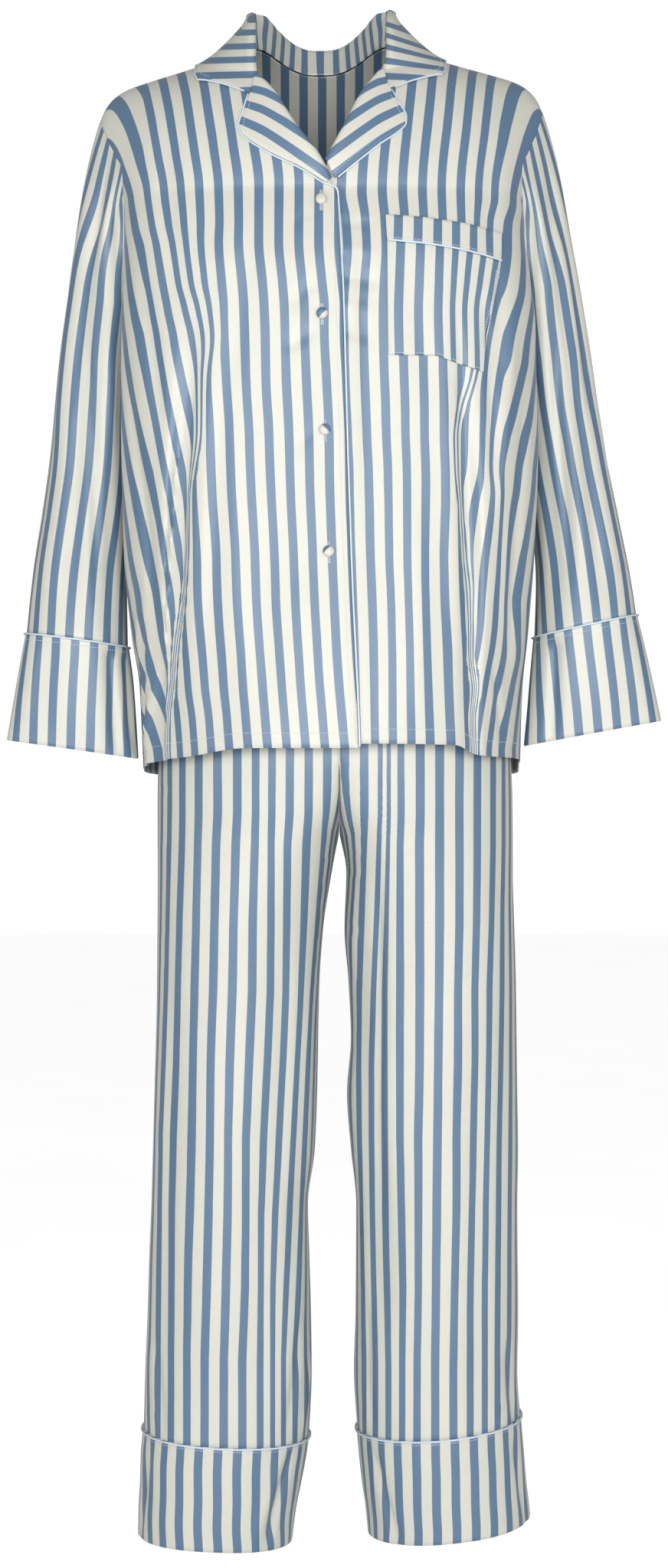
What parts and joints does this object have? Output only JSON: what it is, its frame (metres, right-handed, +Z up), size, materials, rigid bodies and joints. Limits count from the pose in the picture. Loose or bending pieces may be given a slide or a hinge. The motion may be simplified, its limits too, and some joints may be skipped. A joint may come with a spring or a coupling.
{
  "type": "pyjama set",
  "caption": "Striped satin pyjama set in worn, hollow form: notched-collar button shirt with long cuffed sleeves over straight cuffed trousers.",
  "frame": {"origin": "between the shoulders at the base of the neck, where the wearer holds the set up", "axes": "+Z up, +X to the wearer's left, +Y to the wearer's back"},
  "size_m": [0.6248, 0.2824, 1.4653],
  "materials": {
    "striped_satin": "satin, blue and cream stripes",
    "piping_satin": "satin, pale blue",
    "covered_button": "satin, cloth covered"
  },
  "bodies": {
    "root": {"front_right": "striped_satin", "front_left": "striped_satin", "back": "striped_satin", "sleeve_right": "striped_satin", "sleeve_left": "striped_satin", "cuff_right": "striped_satin", "cuff_left": "striped_satin", "lapel_right": "striped_satin", "lapel_left": "striped_satin", "collar": "striped_satin", "pocket": "striped_satin", "pocket_band": "striped_satin", "button_1": "covered_button", "button_2": "covered_button", "button_3": "covered_button", "button_4": "covered_button", "piping_collar": "piping_satin", "piping_front_right": "piping_satin", "piping_front_left": "piping_satin", "piping_pocket": "piping_satin", "piping_cuff_right": "piping_satin", "piping_cuff_left": "piping_satin", "trouser_front_right": "striped_satin", "trouser_front_left": "striped_satin", "trouser_back_right": "striped_satin", "trouser_back_left": "striped_satin", "trouser_cuff_right": "striped_satin", "trouser_cuff_left": "striped_satin", "waistband": "striped_satin", "piping_leg_right": "piping_satin", "piping_leg_left": "piping_satin"}
  },
  "joints": []
}
